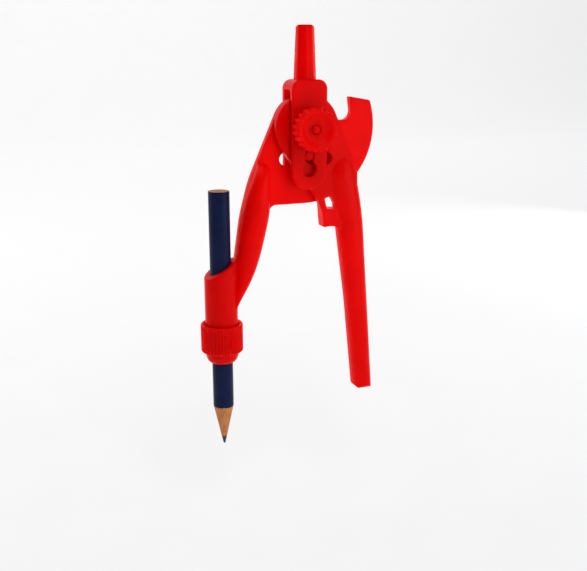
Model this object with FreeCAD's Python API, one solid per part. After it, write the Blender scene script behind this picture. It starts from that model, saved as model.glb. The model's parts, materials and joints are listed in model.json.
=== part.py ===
import FreeCAD, Part
import math
import os
from FreeCAD import Vector

# A school drawing compass in moulded plastic that carries a short round pencil.
# Millimetres. The shapes are drawn with the pivot axis at x = z = 0: +Z runs up the handle,
# the clamping knob faces -Y, the foot leg is at +X and the pencil leg at -X.
# The files are written with the origin at the middle of the handle's grip.

# Head: the yoke's two plates, with the two legs' plates between them
GRIP_HEIGHT = 24.0          # middle of the grip, above the pivot
YOKE_HALF_WIDTH = 6.15
YOKE_TOP = 15.5
YOKE_BOTTOM = -20.0
YOKE_SHOULDER = 3.0         # rounding of the corners of its top
YOKE_ROUND = 5.7            # and of its low end
YOKE_EDGE = 0.5             # rounding round its front and rear faces
YOKE_FACE = 4.7             # outer faces of the yoke's plates, at y = -4.7 and 4.7
YOKE_PLATE = 2.0            # thickness of each plate
YOKE_GAP_TOP = 12.3         # the block above this is solid
GAP_ROUND = 1.0             # where the plates meet that solid block
PLAY = 0.1                  # gap between plates that turn on each other
LEG_FACE = YOKE_FACE - YOKE_PLATE - PLAY    # outer faces of the two leg plates
MID_FACE = PLAY / 2         # inner faces of the two leg plates
FOOT_HEAD = 11.1            # radius of the foot leg's round head
PENCIL_HEAD = 10.9          # radius of the pencil leg's

# Fluted handle
HANDLE_LOBES = 8
HANDLE_BASE = 3.72          # radius over the ribs
HANDLE_TIP = 2.95
HANDLE_TOP = 32.4
FLUTE_DEPTH = 0.2

# Pivot bolt and clamping knob
BOLT_RADIUS = 1.6
BOLT_HEAD_RADIUS = 2.3
HEAD_RECESS = 1.1           # depth of the bolt head's seat in the rear plate
HEAD_PLAY = 0.2             # radial gap round the bolt head in its seat
RUNNING = 0.06              # radial clearance of the turning fits
KNOB_FRONT = 11.3           # front face at y = -11.3
KNOB_RADIUS = 7.3
KNOB_LOBES = 20
KNOB_SCALLOP = 0.8          # depth of the grooves between the lobes
KNOB_RIM = 4.9              # width of the gripped rim
KNOB_HUB_RADIUS = 4.3
DISH_RADIUS = 4.8
DISH_DEPTH = 1.7
BOSS_RADIUS = 2.3           # raised ring round the bolt's end

# Centring pin: it slides in the yoke and in a spiral slot of each leg
PIN_REACH = 8.8             # distance from the pivot at rest
PIN_PER_DEGREE = 0.1        # rise of the pin for each degree that a leg opens
PIN_BARREL = 2.0            # radius between the plates
PIN_END = 1.5               # radius in the yoke's slots
PIN_PLAY = 0.15
OPEN_LIMIT = 35.0           # degrees that each leg opens from rest
SLOT_FAR_END = 34.0         # degrees to the slots' other ends, used for assembly
KEYHOLE_DROP = 13.2         # the keyhole's round end, below the pivot
KEYHOLE_RADIUS = 2.6

# Legs
RIB_CREST = 3.9             # the half-round ribs along the arms stand out to y = -3.9
RIB_INSET = 0.12            # from the arm's outline to the rib's edge
RIB_ROOT = 0.5              # the rib's depth inside the plate
RIB_STEP = 8.0              # spacing of the sections that a rib is drawn through
FOOT_RIB_SPAN = (-2.0, -98.0)       # heights of each rib's first and last section
PENCIL_RIB_SPAN = (-3.0, -75.0)
FOOT_RIB_BASE = -0.6        # y where the foot leg's rib begins to curve forward
TOE_ROUND = 1.6             # front of the foot leg's low end
CORNER = 0.3                # corners that later lie inside another shape
EDGE_ROUND = 0.35
ARM_ROUND = 0.8             # along the rear of the foot leg's arm
SECTOR_RADIUS = 25.2
SECTOR_GAP = 0.4            # from the sector's rim to the foot leg's index block
SECTOR_ANGLES = (270, 306, 342, 378)    # where straight lines would touch the rim
SCALE_STEP = 5              # degrees between the marks
SCALE_DEPTH = 0.25
SCALE_HALF_WIDTH = 0.15
SCALE_OUTER = 24.3          # radius of the marks' outer ends
LONG_MARK = 21.6            # and of their inner ends
SHORT_MARK = 22.8

THROUGH = 10.0              # cutting shapes reach from y = -10 to y = 10, past every plate

# Corners of the legs' outlines: x, z and the radius of the rounding
FOOT_BEND = (18.55, -15.5, 40)
FOOT_KNEE = (21.37, -29.6, 80)
FOOT_TOE = (26.4, -94.3, 1.8)
FOOT_HEEL = (19.6, -94.3, 1.5)
FOOT_SHIN = (16.0, -60.5, 200)
FOOT_CROTCH = (12.3, -34.2, 0.6)
INDEX_CORNER = (4.3, -24.7, 0.5)
INDEX_TOP = (5.3, -22.0, 0.3)
PENCIL_BEND = (-19.4, -16.7, 45)
PENCIL_KNEE = (-22.6, -28.5, 60)
PENCIL_ANKLE = (-25.6, -48.5, 0.3)
PENCIL_HEEL = (-26.0, -60.6, 0.3)
PENCIL_CALF = (-20.2, -51.6, 25)
PENCIL_SHIN = (-15.4, -40.5, 20)
PENCIL_CROTCH = (-12.2, -25.2, 2.4)
NOTCH_END = (11.4, 2.1, 0.4)
HOOK_THROAT = (17.2, 2.1, 2.9)
HOOK_LIP = (16.2, 9.75, 0.35)
INDEX_BLOCK = [(9.2, -33.2, 8), (6.2, -33.6, 0.4), (5.7, -28.9, 1.2)]
WINDOW = [(6.3, -23.6, 0.5), (8.6, -22.9, 1.2), (10.2, -25.6, 1.5), (10.4, -27.6, 0.4), (7.2, -27.2, 0.4)]
REAR_WINDOW = [(6.3, -23.6, 0.5), (12.0, -22.9, 1.2), (12.6, -27.6, 0.6), (7.2, -27.2, 0.4)]
REAR_CHANNEL = [(13.9, -36.5, 0.8), (17.35, -60.5, 200), (20.1, -87.6, 0.8), (24.6, -87.6, 0.8),
                (20.6, -36.5, 0.8)]
CHANNEL_FLOOR = -1.5        # y of the channel's bottom, inside the arm
CHANNEL_ROUND = 0.75

# The ribs' own corners, and the ellipsoids that shape their top ends: centre and half sizes
RIB_REACH = 14.0            # a rib is drawn from this far above its leg's bend
FOOT_RIB_START = 9.4        # x of its inner edge
FOOT_RIB_WAIST = (7.6, -19.0, 14)
FOOT_RIB_NOSE = ((13.2, 0, -19), (6.1, 4.02, 11.4))
PENCIL_RIB_START = -12.45
PENCIL_RIB_WAIST = (-12.45, -26.5, 8)
PENCIL_RIB_END = [(-31.0, -78.0, 0.3), (-29.0, -78.0, 0.3)]
PENCIL_RIB_NOSE = ((-15.8, 0, -20), (5.5, 4.02, 9.2))
FOOT_TUCK = [(18.6, -23.0, 30), (18.2, -36.0, 0.5), (14.4, -36.0, 0.5)]     # head plate, under the rib

# Pencil and its holder
PENCIL_X = -30.0
PENCIL_RADIUS = 3.5
PENCIL_TIP = -108.15
PENCIL_TOP = -19.3
PENCIL_SHOULDER = -93.6     # where the lacquer stops and the sharpened cone begins
LEAD_RADIUS = 1.0
LEAD_POINT = 0.36           # radius of the blunt tip
LACQUER = 0.12
SLEEVE_RADIUS = 5.5
SLEEVE_LOW = -77.6
SLEEVE_BORE = PENCIL_RADIUS + 0.08
RING_RADIUS = 7.12
RING_LOW = -73.9
RING_HIGH = -64.0
RING_LOBES = 40
RING_GROOVE = 0.4
SLIT_HALF_WIDTH = 0.3
SLITS = ((90, -30), (150, -66), (30, -66))      # angle about the pencil, and height of the top end
UP = Vector(0, 0, 1)
BACK = Vector(0, 1, 0)


def rounded_wire(corners):
    """Closed wire in the XZ plane from (x, z, radius) corners, each rounded by an arc."""
    spans = []
    for index, (x, z, radius) in enumerate(corners):
        corner = Vector(x, 0, z)
        neighbours = (corners[index - 1], corners[(index + 1) % len(corners)])
        towards = [(Vector(near[0], 0, near[1]) - corner).normalize() for near in neighbours]
        half = towards[0].getAngle(towards[1]) / 2
        start, end = [corner + way * (radius / math.tan(half)) for way in towards]
        inward = (towards[0] + towards[1]).normalize()
        middle = corner + inward * (radius / math.sin(half) - radius)
        spans.append((start, middle, end))
    edges = []
    for span, following in zip(spans, spans[1:] + spans[:1]):
        edges.append(Part.Arc(*span).toShape())
        if (following[0] - span[2]).Length > 1e-5:
            edges.append(Part.LineSegment(span[2], following[0]).toShape())
    return Part.Wire(edges)


def plate(corners, front, rear):
    """Rounded outline with its thickness along Y."""
    face = Part.Face(rounded_wire(corners))
    face.translate(BACK * front)
    return face.extrude(BACK * (rear - front))


def round_head(radius, normals):
    """Corners that wrap a circle about the pivot; normals are the angles where it is touched."""
    corners = []
    for first, second in zip(normals, normals[1:]):
        angle = math.radians((first + second) / 2)
        reach = radius / math.cos(math.radians(second - first) / 2)
        corners.append((reach * math.cos(angle), reach * math.sin(angle), radius))
    return corners


def rod(radius, front, rear, x=0.0, z=0.0):
    """Cylinder along Y."""
    return Part.makeCylinder(radius, rear - front, Vector(x, front, z), BACK)


def box(low, high):
    size = Vector(*high) - Vector(*low)
    return Part.makeBox(size.x, size.y, size.z, Vector(*low))


def fused(solid, *others):
    for other in others:
        solid = solid.fuse(other)
    return solid


def cut_away(solid, *tools):
    for tool in tools:
        solid = solid.cut(tool)
    return solid


def slot(half_width, top, bottom, front, rear):
    """Upright slot with round ends, cut through along Y on the centre line."""
    middle = box((-half_width, front, bottom), (half_width, rear, top))
    return fused(middle, rod(half_width, front, rear, 0, top), rod(half_width, front, rear, 0, bottom))


def turned(profile):
    """Solid turned about the Z axis from (radius, height) points."""
    points = [Vector(radius, 0, height) for radius, height in profile]
    wire = Part.makePolygon(points + [points[0]])
    return Part.Face(wire).revolve(Vector(0, 0, 0), UP, 360)


def lobed_wire(count, crest, depth, height):
    """Ring of rounded lobes about the Z axis; each is an arc from groove to groove."""
    edges = []
    for index in range(count):
        corners = []
        for part in (0, 0.5, 1):
            angle = 2 * math.pi * (index + part) / count
            radius = crest if part == 0.5 else crest - depth
            corners.append(Vector(radius * math.cos(angle), radius * math.sin(angle), height))
        edges.append(Part.Arc(*corners).toShape())
    return Part.Wire(edges)


def lobed_rod(count, crest, depth, low, high):
    face = Part.Face(lobed_wire(count, crest, depth, low))
    return face.extrude(UP * (high - low))


def edges_in_face(solid, y):
    """The edges that lie in the plane at this y."""
    return [edge for edge in solid.Edges
            if abs(edge.BoundBox.YMin - y) < 1e-4 and abs(edge.BoundBox.YMax - y) < 1e-4]


def soften(solid, y, radius):
    """Round the rim of a plate on the face at this y."""
    return solid.makeFillet(radius, edges_in_face(solid, y))


def handle_yoke():
    """Fluted handle and the forked block below it, moulded in one."""
    width = YOKE_HALF_WIDTH
    block = plate([(-width, YOKE_TOP, YOKE_SHOULDER), (width, YOKE_TOP, YOKE_SHOULDER),
                   (width, YOKE_BOTTOM, YOKE_ROUND), (-width, YOKE_BOTTOM, YOKE_ROUND)],
                  -YOKE_FACE, YOKE_FACE)
    block = soften(block, -YOKE_FACE, YOKE_EDGE)
    block = soften(block, YOKE_FACE, YOKE_EDGE)

    half_gap = YOKE_FACE - YOKE_PLATE
    gap = box((-2 * width, -half_gap, 2 * YOKE_BOTTOM), (2 * width, half_gap, YOKE_GAP_TOP))
    ceiling = [edge for edge in gap.Edges
               if edge.BoundBox.ZMin > YOKE_GAP_TOP - GAP_ROUND and edge.BoundBox.YLength < 1e-4]
    block = block.cut(gap.makeFillet(GAP_ROUND, ceiling))

    pin_half_width = PIN_END + PIN_PLAY
    pin_top = -(PIN_REACH - PIN_PER_DEGREE * OPEN_LIMIT)
    block = cut_away(block, slot(pin_half_width, pin_top, -KEYHOLE_DROP, -THROUGH, THROUGH),
                     rod(KEYHOLE_RADIUS, -THROUGH, 0, 0, -KEYHOLE_DROP), rod(BOLT_RADIUS, -THROUGH, THROUGH),
                     rod(BOLT_HEAD_RADIUS + HEAD_PLAY, YOKE_FACE - HEAD_RECESS, THROUGH))

    wires = [lobed_wire(HANDLE_LOBES, HANDLE_BASE, FLUTE_DEPTH, YOKE_TOP - 0.5),
             lobed_wire(HANDLE_LOBES, HANDLE_TIP, FLUTE_DEPTH, HANDLE_TOP)]
    grip = Part.makeLoft(wires, True, True)
    blunt = turned([(0, 0), (9, 0), (9, HANDLE_TOP - 6.3), (HANDLE_TIP - 0.15, HANDLE_TOP - 0.45),
                    (HANDLE_TIP - 0.55, HANDLE_TOP), (0, HANDLE_TOP)])
    return block.fuse(grip.common(blunt)).removeSplitter()


def pivot_bolt():
    """Bolt through the head: domed head at the rear, domed end in the knob's dish."""
    seat = YOKE_FACE - HEAD_RECESS
    length = KNOB_FRONT - DISH_DEPTH + 0.95
    bolt = turned([(0, -seat), (0, length), (BOLT_RADIUS * 0.5, length - 0.12),
                   (BOLT_RADIUS * 0.85, length - 0.45), (BOLT_RADIUS, length - 0.9),
                   (BOLT_RADIUS, -seat)])
    head = turned([(0, -seat), (BOLT_HEAD_RADIUS, -seat), (BOLT_HEAD_RADIUS, -seat - 0.55),
                   (BOLT_HEAD_RADIUS * 0.8, -seat - 0.85), (BOLT_HEAD_RADIUS * 0.45, -seat - 1.0),
                   (0, -seat - 1.05)])
    bolt = bolt.fuse(head)
    bolt.rotate(Vector(0, 0, 0), Vector(1, 0, 0), 90)
    return bolt


def clamp_knob():
    """Round nut with a scalloped rim, a dished face and a narrow hub behind."""
    hub = YOKE_FACE + PLAY
    rim_back = KNOB_FRONT - KNOB_RIM
    lobes = lobed_rod(KNOB_LOBES, KNOB_RADIUS, KNOB_SCALLOP, hub, KNOB_FRONT)
    floor = KNOB_FRONT - DISH_DEPTH
    profile = [(0, hub), (KNOB_HUB_RADIUS, hub), (KNOB_HUB_RADIUS, rim_back - 0.3),
               (5.6, rim_back), (KNOB_RADIUS - 0.75, rim_back), (KNOB_RADIUS, rim_back + 0.6),
               (KNOB_RADIUS, KNOB_FRONT - 0.4), (KNOB_RADIUS - 0.12, KNOB_FRONT - 0.15),
               (KNOB_RADIUS - 0.4, KNOB_FRONT), (DISH_RADIUS + 0.3, KNOB_FRONT)]
    for step in range(7):
        angle = math.pi / 2 * step / 6
        profile.append((BOSS_RADIUS + 0.3 + (DISH_RADIUS - BOSS_RADIUS - 0.3) * math.cos(angle),
                        KNOB_FRONT - 0.1 - (DISH_DEPTH - 0.1) * math.sin(angle)))
    profile += [(BOSS_RADIUS, floor), (BOSS_RADIUS, floor + 0.35), (BOSS_RADIUS - 0.25, floor + 0.6),
                (0, floor + 0.6)]
    knob = lobes.common(turned(profile))
    knob = knob.cut(Part.makeCylinder(BOLT_RADIUS + RUNNING, 20))
    knob.rotate(Vector(0, 0, 0), Vector(1, 0, 0), 90)
    return knob


def centring_pin():
    """Stepped pin; its thick middle cannot leave through the yoke's narrow slots."""
    shoulder = LEG_FACE
    end = YOKE_FACE - 0.1
    pin = turned([(0, -end), (PIN_END - 0.3, -end), (PIN_END, -end + 0.3), (PIN_END, -shoulder),
                  (PIN_BARREL, -shoulder), (PIN_BARREL, shoulder), (PIN_END, shoulder),
                  (PIN_END, end - 0.3), (PIN_END - 0.3, end), (0, end)])
    pin.rotate(Vector(0, 0, 0), Vector(1, 0, 0), 90)
    pin.translate(Vector(0, 0, -PIN_REACH))
    return pin


def spiral_slot(side):
    """Slot that the pin follows in one leg; side is -1 in the pencil leg and 1 in the foot leg.

    Its centre line nears the pivot evenly with angle, from the end used for assembly to the
    end where the leg is fully open."""
    half_width = PIN_BARREL + PIN_PLAY
    pitch = math.degrees(PIN_PER_DEGREE)

    def place(degrees, offset=0.0, beyond=0.0):
        angle = math.radians(degrees)
        reach = PIN_REACH + PIN_PER_DEGREE * degrees
        down = Vector(side * math.sin(angle), 0, -math.cos(angle))
        across = Vector(side * math.cos(angle), 0, math.sin(angle))
        along = (across * reach + down * pitch).normalize()
        outward = (down * reach - across * pitch).normalize()
        return down * reach + outward * offset + along * beyond

    open_end = -OPEN_LIMIT - 1.5
    angles = [open_end + (SLOT_FAR_END - open_end) * step / 12 for step in range(13)]
    outer = Part.BSplineCurve()
    outer.interpolate([place(angle, half_width) for angle in angles])
    inner = Part.BSplineCurve()
    inner.interpolate([place(angle, -half_width) for angle in reversed(angles)])
    far_cap = Part.Arc(place(SLOT_FAR_END, half_width), place(SLOT_FAR_END, 0, half_width),
                       place(SLOT_FAR_END, -half_width))
    open_cap = Part.Arc(place(open_end, -half_width), place(open_end, 0, -half_width),
                        place(open_end, half_width))
    edges = [curve.toShape() for curve in (outer, far_cap, inner, open_cap)]
    face = Part.Face(Part.Wire(edges))
    face.translate(BACK * -THROUGH)
    return face.extrude(BACK * 2 * THROUGH)


def touching(corner, radius, turn):
    """Angle at which a line from the corner touches a circle about the pivot."""
    x, z = corner[:2]
    swing = math.degrees(math.acos(radius / math.hypot(x, z)))
    return (math.degrees(math.atan2(z, x)) + turn * swing) % 360


def along(first, second, z):
    """Where the line through two corners reaches this height."""
    share = (z - first[1]) / (second[1] - first[1])
    return first[0] + (second[0] - first[0]) * share


def half_round(outline, base, top, low):
    """Half-round rib on an arm: it stands out from y = base and follows the arm's outline."""
    wires = []
    for step in range(round((top - low) / RIB_STEP) + 1):
        z = top - RIB_STEP * step
        span = outline.common(box((-60, -50, z), (60, 50, z + 0.01))).BoundBox
        middle = span.Center.x
        reach = span.XLength / 2 - RIB_INSET
        points = []
        for turn in range(0, 181, 18):
            angle = math.radians(turn)
            points.append(Vector(middle - reach * math.cos(angle),
                                 base - (RIB_CREST + base) * math.sin(angle), z))
        front = Part.BSplineCurve()
        front.interpolate(points)
        root = [Vector(points[-1].x, base + RIB_ROOT, z), Vector(points[0].x, base + RIB_ROOT, z)]
        wires.append(Part.Wire([front.toShape()] + Part.makePolygon([points[-1]] + root + [points[0]]).Edges))
    return Part.makeLoft(wires, True, False)


def nosed(rib, centre, size):
    """Shape the top end of a rib like the top of an ellipsoid with this centre and half sizes."""
    scale = FreeCAD.Matrix()
    scale.scale(*size)
    scale.move(Vector(*centre))
    ball = Part.makeSphere(1).transformGeometry(scale)
    above = box((centre[0] - 20, -20, centre[2]), (centre[0] + 20, 20, 20))
    return rib.cut(above.cut(ball))


def foot_rib(head_angle):
    """Half-round front of the foot leg; head_angle is where its outer edge touches the head."""
    top = FOOT_BEND[1] + RIB_REACH
    outer = FOOT_BEND[0] - RIB_REACH * math.tan(math.radians(head_angle))
    upper = [(FOOT_RIB_START, top, CORNER), (outer, top, CORNER), FOOT_BEND, FOOT_KNEE]
    lower = [FOOT_SHIN, FOOT_CROTCH, FOOT_RIB_WAIST]
    end = FOOT_TOE[1] - RIB_STEP
    beyond = [(along(FOOT_KNEE, FOOT_TOE, end), end, CORNER),
              (along(FOOT_SHIN, FOOT_HEEL, end), end, CORNER)]
    rib = half_round(plate(upper + beyond + lower, 0, 1), FOOT_RIB_BASE, *FOOT_RIB_SPAN)
    rib = nosed(rib, *FOOT_RIB_NOSE)
    front = -RIB_CREST - 0.05
    toe = plate([(front, FOOT_TOE[1], TOE_ROUND), (front, 0, CORNER), (THROUGH, 0, CORNER),
                 (THROUGH, FOOT_TOE[1], CORNER)], -50, 50)
    toe.rotate(Vector(0, 0, 0), UP, 90)
    return rib.common(plate(upper + [FOOT_TOE, FOOT_HEEL] + lower, -THROUGH, 1)).common(toe)


def foot_leg():
    """Front leg: round head, window, index block and an arm that is hollow at the rear."""
    right = touching(FOOT_BEND, FOOT_HEAD, 1)
    left = touching(INDEX_CORNER, FOOT_HEAD, -1)
    window = plate(WINDOW, -THROUGH, THROUGH)
    head = plate([INDEX_CORNER] + round_head(FOOT_HEAD, [left, 150, 80, right])
                 + [(FOOT_BEND[0], FOOT_BEND[1], 3)] + FOOT_TUCK + [FOOT_CROTCH] + INDEX_BLOCK,
                 -LEG_FACE, -MID_FACE)
    head = cut_away(soften(head, -LEG_FACE, EDGE_ROUND), window, spiral_slot(1),
                    rod(BOLT_RADIUS + RUNNING, -THROUGH, THROUGH))

    rear = plate([INDEX_TOP] + INDEX_BLOCK[::-1] + [FOOT_CROTCH, FOOT_SHIN, FOOT_HEEL, FOOT_TOE,
                 FOOT_KNEE, (FOOT_BEND[0], FOOT_BEND[1], CORNER)], -MID_FACE - 0.4, LEG_FACE)
    rear = cut_away(rear, rod(SECTOR_RADIUS + SECTOR_GAP, -MID_FACE, THROUGH),
                    plate(REAR_WINDOW, -THROUGH, THROUGH))
    leg = fused(head, foot_rib(right).cut(window), rear)
    below_window = [edge for edge in edges_in_face(leg, LEG_FACE) if edge.BoundBox.ZMax < REAR_WINDOW[2][1]]
    leg = leg.makeFillet(ARM_ROUND, below_window)

    channel = plate(REAR_CHANNEL, CHANNEL_FLOOR, THROUGH)
    return leg.cut(channel.makeFillet(CHANNEL_ROUND, edges_in_face(channel, CHANNEL_FLOOR)))


def sector_marks():
    """Engraved scale on the rear face: a long mark every 10 degrees, a short one between."""
    marks = []
    for degrees in range(SCALE_STEP, 100, SCALE_STEP):
        inner = LONG_MARK if degrees % 10 == 0 else SHORT_MARK
        mark = box((-SCALE_HALF_WIDTH, LEG_FACE - SCALE_DEPTH, -SCALE_OUTER),
                   (SCALE_HALF_WIDTH, LEG_FACE + 1, -inner))
        mark.rotate(Vector(0, 0, 0), BACK, -degrees)
        marks.append(mark)
    return marks


def sleeve():
    """Collet about the pencil: cut off at a slant on top, with a rounded nose, split to grip."""
    body = turned([(0, SLEEVE_LOW), (4.0, SLEEVE_LOW), (4.5, SLEEVE_LOW + 0.3), (5.0, SLEEVE_LOW + 0.9),
                   (5.35, SLEEVE_LOW + 1.7), (5.6, SLEEVE_LOW + 2.8), (5.72, RING_LOW - 0.1),
                   (SLEEVE_RADIUS, RING_LOW + 0.1), (SLEEVE_RADIUS, -38.0), (0, -38.0)])
    slant = box((-20, -20, 0), (20, 20, 40))
    slant.rotate(Vector(0, 0, 0), BACK, -math.degrees(math.atan(0.6)))
    slant.translate(UP * -44.9)
    body = body.cut(slant)
    lip = [edge for edge in body.Edges if edge.BoundBox.ZLength > 5 and edge.BoundBox.ZMin > -50]
    return body.makeFillet(0.55, lip)


def collet_slits():
    """One slit along the whole sleeve and two short ones in its nose, a third of a turn apart."""
    slits = []
    for turn, top in SLITS:
        slit = box((0, -SLIT_HALF_WIDTH, SLEEVE_LOW - 1), (8, SLIT_HALF_WIDTH, top))
        slit.rotate(Vector(0, 0, 0), UP, turn)
        slits.append(slit)
    return slits


def pencil_leg():
    """Rear leg: round head grown into a scale sector, a curved arm and the pencil's collet."""
    sector_tip = math.radians(SECTOR_ANGLES[-1])
    rim_end = (SECTOR_RADIUS * math.cos(sector_tip) - 0.7 * math.sin(sector_tip),
               SECTOR_RADIUS * math.sin(sector_tip) + 0.7 * math.cos(sector_tip), 1.1)
    left = touching(PENCIL_BEND, PENCIL_HEAD, -1)
    head = round_head(PENCIL_HEAD, [touching(NOTCH_END, PENCIL_HEAD, 1), 75, 115, left])
    outer_edge = [PENCIL_BEND, PENCIL_KNEE, PENCIL_ANKLE]
    inner_edge = [PENCIL_HEEL, PENCIL_CALF, PENCIL_SHIN]
    rear = plate([PENCIL_CROTCH] + round_head(SECTOR_RADIUS, SECTOR_ANGLES)
                 + [rim_end, HOOK_LIP, HOOK_THROAT, NOTCH_END] + head + outer_edge + inner_edge,
                 MID_FACE, LEG_FACE)
    rear = soften(rear, LEG_FACE, EDGE_ROUND)

    top = PENCIL_BEND[1] + RIB_REACH
    rib_start = [PENCIL_RIB_WAIST, (PENCIL_RIB_START, top, CORNER),
                 (PENCIL_BEND[0] - RIB_REACH * math.tan(math.radians(left)), top, CORNER)]
    outline = plate(rib_start + outer_edge + PENCIL_RIB_END + inner_edge, 0, 1)
    rib = nosed(half_round(outline, 0, *PENCIL_RIB_SPAN), *PENCIL_RIB_NOSE)
    collar = sleeve()
    collar.translate(Vector(PENCIL_X, 0, 0))
    cuts = collet_slits() + [Part.makeCylinder(SLEEVE_BORE, 60, Vector(0, 0, SLEEVE_LOW - 1), UP)]
    for cut in cuts:
        cut.translate(Vector(PENCIL_X, 0, 0))
    return cut_away(fused(rear, rib, collar), *cuts, *sector_marks(), spiral_slot(-1),
                    rod(BOLT_RADIUS + RUNNING, -THROUGH, THROUGH))


def clamp_ring():
    """Ribbed ring that closes the collet; it widens inwards at the top."""
    ribs = lobed_rod(RING_LOBES, RING_RADIUS, RING_GROOVE, RING_LOW, RING_HIGH)
    body = turned([(SLEEVE_RADIUS + RUNNING, RING_LOW + 0.5), (SLEEVE_RADIUS + 0.4, RING_LOW),
                   (RING_RADIUS - 0.55, RING_LOW), (RING_RADIUS, RING_LOW + 0.55),
                   (RING_RADIUS, RING_HIGH - 0.8), (RING_RADIUS - 0.25, RING_HIGH - 0.3),
                   (RING_RADIUS - 0.6, RING_HIGH), (RING_RADIUS - 0.9, RING_HIGH),
                   (SLEEVE_RADIUS + RUNNING, RING_HIGH - 1.3)])
    ring = ribs.common(body)
    ring.translate(Vector(PENCIL_X, 0, 0))
    return ring


def sharpened(radius):
    """Round blank of this radius, cut to the pencil's cone at one end and square at the other."""
    slope = (PENCIL_RADIUS - LEAD_POINT) / (PENCIL_SHOULDER - PENCIL_TIP)
    shoulder = PENCIL_TIP + (radius - LEAD_POINT) / slope
    blank = turned([(0, PENCIL_TIP), (LEAD_POINT, PENCIL_TIP), (radius, shoulder),
                    (radius, PENCIL_TOP), (0, PENCIL_TOP)])
    blank.translate(Vector(PENCIL_X, 0, 0))
    return blank


def pencil_slat(side):
    """Half of the wood, grooved for the lead; side is -1 in front of the lead and 1 behind it."""
    wood = sharpened(PENCIL_RADIUS - LACQUER)
    half = box((PENCIL_X - 5, min(0, side * 5), PENCIL_TIP), (PENCIL_X + 5, max(0, side * 5), 0))
    groove = Part.makeCylinder(LEAD_RADIUS, -PENCIL_TIP, Vector(PENCIL_X, 0, PENCIL_TIP), UP)
    return wood.common(half).cut(groove)


def pencil_slat_front():
    return pencil_slat(-1)


def pencil_slat_rear():
    return pencil_slat(1)


def pencil_lead():
    return sharpened(LEAD_RADIUS)


def pencil_lacquer():
    """Coat of paint round the wood, down to where the cone begins."""
    core = Part.makeCylinder(PENCIL_RADIUS - LACQUER, -PENCIL_TIP, Vector(PENCIL_X, 0, PENCIL_TIP), UP)
    return sharpened(PENCIL_RADIUS).cut(core)


def finish(name, solid):
    """Check one sub-part and write it, moved so that the grip is the origin."""
    placed = solid.copy()
    placed.translate(UP * -GRIP_HEIGHT)
    print(name, "solids", len(placed.Solids), "valid", placed.isValid(), "volume", round(placed.Volume, 2))
    placed.exportStep("parts/" + name + ".step")


os.makedirs("parts", exist_ok=True)
for maker in (handle_yoke, pivot_bolt, clamp_knob, centring_pin, foot_leg, pencil_leg, clamp_ring,
              pencil_slat_front, pencil_slat_rear, pencil_lead, pencil_lacquer):
    finish(maker.__name__, maker())
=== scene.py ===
import json
import math
import bmesh
import bpy
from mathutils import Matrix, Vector


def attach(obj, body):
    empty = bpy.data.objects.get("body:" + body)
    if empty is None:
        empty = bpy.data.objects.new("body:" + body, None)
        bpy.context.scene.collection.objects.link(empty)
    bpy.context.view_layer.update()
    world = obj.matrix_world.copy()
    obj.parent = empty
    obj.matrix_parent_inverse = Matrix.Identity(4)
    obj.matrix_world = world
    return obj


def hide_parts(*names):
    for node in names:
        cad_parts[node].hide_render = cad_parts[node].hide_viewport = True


# Looks of the drawing compass. The scene is in metres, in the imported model's frame: the origin is the
# middle of the handle's grip, +Z runs up the handle and the clamping knob faces -Y.
# Sizes of the pieces are in millimetres, with heights above the pivot, and MM turns them to metres.

MM = 0.001
PIVOT_Z = -24.0             # the pivot, from the middle of the grip
PENCIL_X = -30.0            # the pencil's axis
POINT = -108.15             # height of the pencil's point
SHOULDER = -93.6            # where its cone begins
TOP = -19.3
PENCIL_RADIUS = 3.5
POINT_RADIUS = 0.36
WOOD_RADIUS = 3.38
CORE_RADIUS = 1.0
FIT = 0.002                 # keeps surfaces that meet from lying in each other
KNOB_LOBES = 20
RING_RIBS = 40
EDGE_RADIUS = 0.25          # softening of the corners of the CAD solids
FLOOR_DROP = 25.0           # the compass is held up: its slid-down pencil stays clear of the floor
FLOOR_Z = (PIVOT_Z + POINT - FLOOR_DROP) * MM

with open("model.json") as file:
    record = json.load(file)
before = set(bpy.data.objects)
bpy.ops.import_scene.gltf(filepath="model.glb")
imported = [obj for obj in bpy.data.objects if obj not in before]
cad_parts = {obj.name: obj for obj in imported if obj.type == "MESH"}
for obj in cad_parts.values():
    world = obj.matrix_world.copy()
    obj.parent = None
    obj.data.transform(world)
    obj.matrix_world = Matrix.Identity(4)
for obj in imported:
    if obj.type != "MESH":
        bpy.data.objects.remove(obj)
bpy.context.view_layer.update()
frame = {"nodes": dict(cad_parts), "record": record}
nodes = frame["nodes"]


# Materials ---------------------------------------------------------------------------------------

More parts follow.
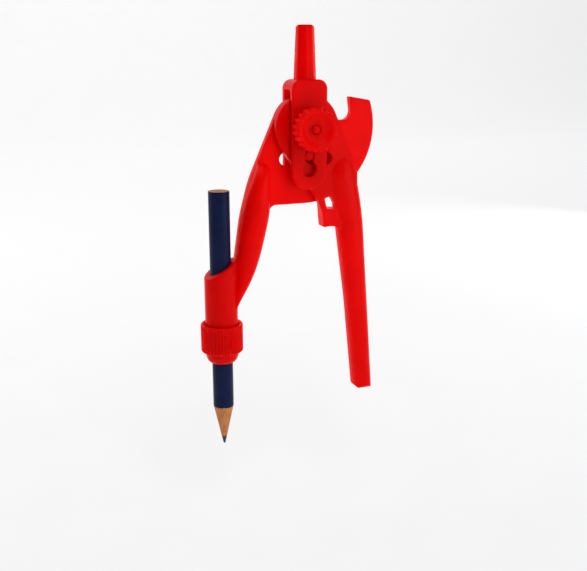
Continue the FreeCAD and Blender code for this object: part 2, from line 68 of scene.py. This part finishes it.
class Finish:
    """A node material: its shader, and short ways to add nodes in front of that."""

    def __init__(self, name):
        self.material = bpy.data.materials.new(name)
        self.material.use_nodes = True
        self.tree = self.material.node_tree
        self.shader = self.tree.nodes["Principled BSDF"]
        self.place = self.add("ShaderNodeTexCoord").outputs["Object"]

    def add(self, kind, **values):
        node = self.tree.nodes.new(kind)
        for key, value in values.items():
            if key in node.inputs:
                node.inputs[key].default_value = value
            else:
                setattr(node, key, value)
        return node

    def link(self, source, target):
        self.tree.links.new(source, target)

    def set(self, **values):
        for key, value in values.items():
            self.shader.inputs[key.replace("_", " ")].default_value = value

    def stretched(self, x, y, z):
        node = self.add("ShaderNodeMapping")
        node.inputs["Scale"].default_value = (x, y, z)
        self.link(self.place, node.inputs["Vector"])
        return node.outputs["Vector"]

    def noise(self, scale, detail=3.0, place=None, roughness=0.55):
        node = self.add("ShaderNodeTexNoise", Scale=scale, Detail=detail, Roughness=roughness)
        self.link(place or self.place, node.inputs["Vector"])
        return node.outputs["Fac"]

    def ramp(self, source, stops):
        node = self.add("ShaderNodeValToRGB")
        elements = node.color_ramp.elements
        while len(elements) < len(stops):
            elements.new(0.5)
        for element, (position, colour) in zip(elements, stops):
            element.position = position
            element.color = (*colour, 1.0)
        self.link(source, node.inputs["Fac"])
        return node.outputs["Color"]

    def spread(self, source, low, high, target):
        """Carry a 0 to 1 pattern to a shader input between two values."""
        node = self.add("ShaderNodeMapRange")
        node.inputs["To Min"].default_value = low
        node.inputs["To Max"].default_value = high
        self.link(source, node.inputs["Value"])
        self.link(node.outputs["Result"], self.shader.inputs[target])

    def relief(self, height, depth, strength, under=None):
        """Bumps from a pattern, on top of another normal if one is given."""
        node = self.add("ShaderNodeBump")
        node.inputs["Strength"].default_value = strength
        node.inputs["Distance"].default_value = depth
        self.link(height, node.inputs["Height"])
        if under:
            self.link(under, node.inputs["Normal"])
        return node.outputs["Normal"]

    def softened_edges(self, radius):
        node = self.add("ShaderNodeBevel", samples=6)
        node.inputs["Radius"].default_value = radius
        return node.outputs["Normal"]


def red_plastic(name, edge_radius, roughness, specular):
    """Moulded plastic; edge_radius softens the CAD solids' corners where it isn't nought."""
    finish = Finish(name)
    broad = finish.noise(90.0, 2.0)
    fine = finish.noise(700.0, 4.0)
    colour = finish.ramp(broad, [(0.3, (0.82, 0.0008, 0.0008)), (0.7, (0.92, 0.0014, 0.0014))])
    finish.link(colour, finish.shader.inputs["Base Color"])
    finish.spread(fine, roughness - 0.05, roughness + 0.05, "Roughness")
    edges = finish.softened_edges(edge_radius) if edge_radius else None
    waves = finish.relief(broad, 0.03 * MM, 0.3, edges)
    finish.link(waves, finish.shader.inputs["Normal"])
    finish.set(IOR=1.49, Specular_IOR_Level=specular, Subsurface_Weight=1.0,
               Subsurface_Radius=(1.0, 0.05, 0.05), Subsurface_Scale=4.2 * MM)
    return finish.material


def navy_paint():
    finish = Finish("navy_lacquer")
    grain = finish.noise(900.0, 4.0, finish.stretched(1.0, 1.0, 0.06))
    broad = finish.noise(140.0, 2.0)
    colour = finish.ramp(broad, [(0.3, (0.004, 0.009, 0.044)), (0.75, (0.007, 0.014, 0.066))])
    finish.link(colour, finish.shader.inputs["Base Color"])
    finish.spread(grain, 0.22, 0.42, "Roughness")
    normal = finish.relief(grain, 0.02 * MM, 0.5)
    finish.link(normal, finish.shader.inputs["Normal"])
    finish.set(IOR=1.5, Specular_IOR_Level=0.08)
    return finish.material


def bare_wood():
    finish = Finish("cedar")
    grain = finish.noise(1500.0, 6.0, finish.stretched(1.0, 1.0, 0.05), 0.65)
    pores = finish.noise(5200.0, 3.0, finish.stretched(1.0, 1.0, 0.12))
    colour = finish.ramp(grain, [(0.25, (0.40, 0.115, 0.034)), (0.5, (0.59, 0.215, 0.072)),
                                 (0.8, (0.80, 0.39, 0.15))])
    finish.link(colour, finish.shader.inputs["Base Color"])
    finish.spread(pores, 0.55, 0.8, "Roughness")
    coarse = finish.relief(grain, 0.05 * MM, 0.6)
    normal = finish.relief(pores, 0.02 * MM, 0.5, coarse)
    finish.link(normal, finish.shader.inputs["Normal"])
    finish.set(IOR=1.45, Specular_IOR_Level=0.3)
    return finish.material


def graphite():
    finish = Finish("graphite")
    specks = finish.noise(4200.0, 4.0)
    colour = finish.ramp(specks, [(0.3, (0.018, 0.018, 0.021)), (0.7, (0.06, 0.06, 0.068))])
    finish.link(colour, finish.shader.inputs["Base Color"])
    finish.spread(specks, 0.32, 0.55, "Roughness")
    normal = finish.relief(specks, 0.015 * MM, 0.6)
    finish.link(normal, finish.shader.inputs["Normal"])
    finish.set(Metallic=0.35)
    return finish.material


def pale_paper():
    finish = Finish("pale_floor")
    mottle = finish.noise(40.0, 3.0)
    colour = finish.ramp(mottle, [(0.3, (0.29, 0.29, 0.29)), (0.7, (0.31, 0.31, 0.31))])
    finish.link(colour, finish.shader.inputs["Base Color"])
    finish.spread(mottle, 0.75, 0.85, "Roughness")
    finish.set(Specular_IOR_Level=0.1, Emission_Color=(1, 1, 1, 1), Emission_Strength=0.71)
    return finish.material


FINISHES = {"red_plastic": red_plastic("red_plastic", EDGE_RADIUS * MM, 0.30, 0.05),
            "cedar": bare_wood(), "graphite": graphite(), "navy_lacquer": navy_paint()}
SLOTS = {entry["node"]: entry["material_slot"] for entry in frame["record"]["subparts"]}
SMOOTH_RED = red_plastic("red_plastic_smooth", 0, 0.45, 0.05)


def wear(piece, slot, material=None):
    """Give a piece its slot, and that slot's finish unless another is named."""
    piece.data.materials.clear()
    piece.data.materials.append(material or FINISHES[slot])


for name, node in nodes.items():
    wear(node, SLOTS[name])


# Pieces with finer shapes than the CAD solids they stand for --------------------------------------

def skinned(name, rings, closed_loop, node, body, slot, material=None):
    """Piece from rings of points, each joined to the next, and the last to the first in a closed loop."""
    count = len(rings[0])
    points = [[value * MM for value in point] for ring in rings for point in ring]
    faces = []
    pairs = len(rings) if closed_loop else len(rings) - 1
    for i in range(pairs):
        start, follow = i * count, (i + 1) % len(rings) * count
        for j in range(count):
            k = (j + 1) % count
            faces.append((start + j, start + k, follow + k, follow + j))
    mesh = bpy.data.meshes.new(name)
    mesh.from_pydata(points, [], faces)
    mesh.polygons.foreach_set("use_smooth", [True] * len(faces))
    build = bmesh.new()
    build.from_mesh(mesh)
    bmesh.ops.recalc_face_normals(build, faces=build.faces)
    build.to_mesh(mesh)
    build.free()
    mesh.set_sharp_from_angle(angle=math.radians(40))
    piece = bpy.data.objects.new(name, mesh)
    bpy.context.scene.collection.objects.link(piece)
    wear(piece, slot, material)
    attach(piece, body)
    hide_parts(node)
    return piece


def rounded(profile, reach, steps=4):
    """Profile of (radius, height, groove share) points with its corners rounded off."""
    result = []
    count = len(profile)
    for i, corner in enumerate(profile):
        before, after = profile[i - 1], profile[(i + 1) % count]
        spans = []
        for other in (before, after):
            length = math.hypot(other[0] - corner[0], other[1] - corner[1])
            share = min(0.45, reach / max(length, 1e-6))
            spans.append([c + (o - c) * share for c, o in zip(corner, other)])
        for step in range(steps + 1):
            t = step / steps
            weights = ((1 - t) ** 2, 2 * t * (1 - t), t * t)
            result.append([sum(w * p[axis] for w, p in zip(weights, (spans[0], corner, spans[1])))
                           for axis in range(3)])
    return result


def lobed_ring(point, lobes, depth, sides, place):
    """One turn of a profile point about an axis; grooves are cut in it by its groove share."""
    radius, height, share = point
    ring = []
    for side in range(sides):
        angle = 2 * math.pi * side / sides
        groove = (0.5 + 0.5 * math.cos(lobes * angle)) ** 1.4
        reach = radius - depth * share * groove
        ring.append(place(reach * math.cos(angle), reach * math.sin(angle), height))
    return ring


def about_y(x, y, height):
    """Place a point of the knob, whose heights run forward from the pivot."""
    return (x, -height, y + PIVOT_Z)


def about_pencil(x, y, height):
    """Place a point of a piece that is round about the pencil's axis."""
    return (x + PENCIL_X, y, height + PIVOT_Z)


def knob():
    """Clamping knob: rounded lobes on the rim, a dished face and a raised ring in the dish."""
    hub = [(1.62, 4.8, 0), (4.3, 4.8, 0), (4.3, 6.0, 0)]
    rim = [(5.7, 6.4, 0.1), (6.5, 6.4, 0.6), (7.2, 7.1, 1), (7.25, 10.9, 1), (6.95, 11.28, 1),
           (5.7, 11.25, 0.1)]
    dish = [(5.1, 10.95, 0), (4.6, 10.4, 0), (3.8, 9.85, 0), (2.6, 9.65, 0), (2.2, 9.95, 0),
            (1.62, 10.0, 0)]
    rings = [lobed_ring(point, KNOB_LOBES, 0.85, 16 * KNOB_LOBES, about_y)
             for point in rounded(hub + rim + dish, 0.4)]
    skinned("knob_lobed", rings, True, "clamp_knob", "knob", "red_plastic", SMOOTH_RED)


def ring():
    """Clamping ring: rounded ribs that fade into a smooth rim at the top."""
    ribs = [(5.58, -73.4, 0), (5.95, -73.88, 0), (6.6, -73.88, 0.8), (7.1, -73.4, 1), (7.11, -64.9, 1)]
    rim = [(7.08, -64.35, 0.1), (6.7, -64.02, 0), (6.2, -64.02, 0), (5.58, -65.3, 0)]
    rings = [lobed_ring(point, RING_RIBS, 0.36, 12 * RING_RIBS, about_pencil)
             for point in rounded(ribs + rim, 0.3)]
    skinned("ring_ribbed", rings, True, "clamp_ring", "ring", "red_plastic", SMOOTH_RED)


def uneven(angle, seed):
    """Slow irregular wave round the pencil, between -1 and 1."""
    waves = ((3, 1.3), (7, 2.1), (13, 0.7), (22, 4.0), (31, 5.2))
    total = sum(math.sin(count * angle + turn * seed) / (1 + 0.04 * count) for count, turn in waves)
    return total / len(waves)


def cone(height):
    """Radius of the sharpened end at this height."""
    return POINT_RADIUS + (height - POINT) * (PENCIL_RADIUS - POINT_RADIUS) / (SHOULDER - POINT)


def full_turn(sides):
    """Angles of evenly spaced points round an axis."""
    return [2 * math.pi * side / sides for side in range(sides)]


def even(value):
    """The same value at every angle."""
    return lambda angle: value


def wavy(height):
    """An edge round the pencil that rises and falls by up to 0.32 mm."""
    return lambda angle: height + 0.32 * uneven(angle, 1.0)


def pencil_arc(angles, reach, height):
    """Points about the pencil's axis; reach and height each give a value for an angle."""
    return [about_pencil(reach(angle) * math.cos(angle), reach(angle) * math.sin(angle), height(angle))
            for angle in angles]


def paint():
    """Coat of paint with a rounded top rim; its lower edge is uneven where the sharpener stopped."""
    angles = full_turn(240)
    above_edge = ((3.39, 0.06), (3.47, -0.02), (3.5, 0.1), (3.5, 0.4))
    below_top = ((3.5, 0.6), (3.49, 0.2), (3.45, 0.06), (3.385, 0.02))
    rings = []
    for radius, rise in above_edge:
        rings.append(pencil_arc(angles, even(radius), wavy(SHOULDER - 0.15 + rise)))
    for radius, drop in below_top:
        rings.append(pencil_arc(angles, even(radius), even(TOP - drop)))
    skinned("pencil_paint", rings, True, "pencil_lacquer", "pencil", "navy_lacquer")


def shaved(angle, height):
    """Radius of the wood: shallow flats on the cone, and an edge rounded off at the square end."""
    radius = min(WOOD_RADIUS, cone(height))
    if height < SHOULDER - 0.4:
        radius -= 0.02 + 0.02 * uneven(angle, 2.6 + 0.02 * height)
    radius -= max(0, height - TOP + 0.15) * 0.9
    return max(radius, CORE_RADIUS + FIT)


def close_ends(piece, count, rings):
    """Close both ends of a half tube, between the outer and the inner half of each end ring."""
    build = bmesh.new()
    build.from_mesh(piece.data)
    build.verts.ensure_lookup_table()
    for first in (0, (rings - 1) * count):
        for step in range(count // 2 - 1):
            corners = (first + step, first + step + 1, first + count - 2 - step, first + count - 1 - step)
            build.faces.new([build.verts[index] for index in corners])
    bmesh.ops.recalc_face_normals(build, faces=build.faces)
    build.to_mesh(piece.data)
    build.free()


def slat(name, node, start):
    """Half of the wood, from this angle round to the opposite one."""
    steps = 60
    angles = [start + math.pi * step / steps for step in range(steps + 1)]
    heights = [POINT + 3.0 + 0.45 * i for i in range(26)] + [SHOULDER + 0.2, -90.0, -60.0, -30.0]
    heights += [TOP - 0.6, TOP - 0.15, TOP - 0.01]
    rings = []
    for height in heights:
        outer = pencil_arc(angles, lambda angle: shaved(angle, height), even(height))
        inner = pencil_arc(angles, even(CORE_RADIUS), even(height))
        rings.append(outer + inner[::-1])
    piece = skinned(name, rings, False, node, "pencil", "cedar")
    close_ends(piece, 2 * (steps + 1), len(heights))


def worn(height):
    """Radius of the lead's faceted point at this height, as a function of angle."""
    return lambda angle: min(CORE_RADIUS - FIT / 2, cone(height) - 0.02 - 0.025 * (1 + uneven(angle, 3.7)))


def lead():
    """Graphite core with a worn point; its ends close almost to the axis."""
    radius = CORE_RADIUS - FIT / 2
    levels = [(even(0.02), POINT), (even(0.2), POINT + 0.02), (even(0.33), POINT + 0.13)]
    levels += [(worn(POINT + 0.35 + 0.3 * step), POINT + 0.35 + 0.3 * step) for step in range(9)]
    levels += [(even(radius), POINT + 3.05), (even(radius), TOP - 0.2), (even(0.9), TOP - 0.03),
               (even(0.02), TOP - 0.02)]
    rings = [pencil_arc(full_turn(48), reach, even(height)) for reach, height in levels]
    skinned("pencil_core", rings, False, "pencil_lead", "pencil", "graphite")


knob()
ring()
paint()
slat("pencil_wood_front", "pencil_slat_front", math.pi)
slat("pencil_wood_rear", "pencil_slat_rear", 0.0)
lead()


# Studio ------------------------------------------------------------------------------------------

def backdrop():
    """Pale floor that curves up behind the object."""
    reach, rise, bend, half_width, steps = 1.6, 1.4, 0.5, 2.2, 12
    profile = [(-reach, FLOOR_Z)]
    for step in range(steps + 1):
        angle = math.pi / 2 * step / steps
        profile.append((reach - bend + bend * math.sin(angle), FLOOR_Z + bend - bend * math.cos(angle)))
    profile.append((reach, FLOOR_Z + rise))
    points = [(x, y, z) for y, z in profile for x in (-half_width, half_width)]
    faces = [(2 * i, 2 * i + 1, 2 * i + 3, 2 * i + 2) for i in range(len(profile) - 1)]
    mesh = bpy.data.meshes.new("floor")
    mesh.from_pydata(points, [], faces)
    mesh.polygons.foreach_set("use_smooth", [True] * len(faces))
    floor = bpy.data.objects.new("floor", mesh)
    bpy.context.scene.collection.objects.link(floor)
    mesh.materials.append(pale_paper())


def softbox(name, place, target, width, height, power):
    """Rectangular light that faces its target; sizes in metres, power in watts."""
    light = bpy.data.lights.new(name, "AREA")
    light.shape = "RECTANGLE"
    light.size, light.size_y = width, height
    light.energy = power
    lamp = bpy.data.objects.new(name, light)
    lamp.location = place
    lamp.rotation_euler = (Vector(target) - Vector(place)).to_track_quat("-Z", "Y").to_euler()
    bpy.context.scene.collection.objects.link(lamp)


def camera():
    """Eye at the grip's height, in front and to the left, turned down and to the right."""
    lens = bpy.data.cameras.new("camera")
    lens.lens = 51.5
    lens.sensor_width = 36.0
    lens.clip_start = 10 * MM
    eye = bpy.data.objects.new("camera", lens)
    eye.location = (-0.10758, -0.25950, -0.00094)
    eye.rotation_euler = (math.radians(74.65), 0, math.radians(-21.77))
    bpy.context.scene.collection.objects.link(eye)
    bpy.context.scene.camera = eye


def room_light():
    """Faint light from all round."""
    world = bpy.data.worlds.new("studio")
    world.use_nodes = True
    background = world.node_tree.nodes["Background"]
    background.inputs["Color"].default_value = (1, 1, 1, 1)
    background.inputs["Strength"].default_value = 0.03
    bpy.context.scene.world = world


backdrop()
middle = (-0.005, 0, -0.06)
softbox("left_box", (-0.50, 0.40, 0.20), middle, 0.4, 0.5, 1.7)
softbox("right_box", (0.45, -0.50, -0.05), middle, 0.4, 0.5, 1.4)
softbox("edge_box", (0.50, 0.30, 0.10), middle, 0.3, 0.4, 1.0)
softbox("top_box", (0.0, -0.50, 0.60), middle, 0.4, 0.5, 2.6)
softbox("wall_light", (0.0, 0.55, 1.0), (0.0, 1.6, 0.35), 2.0, 0.4, 12.5)
room_light()
camera()
bpy.context.scene.view_settings.view_transform = "Standard"
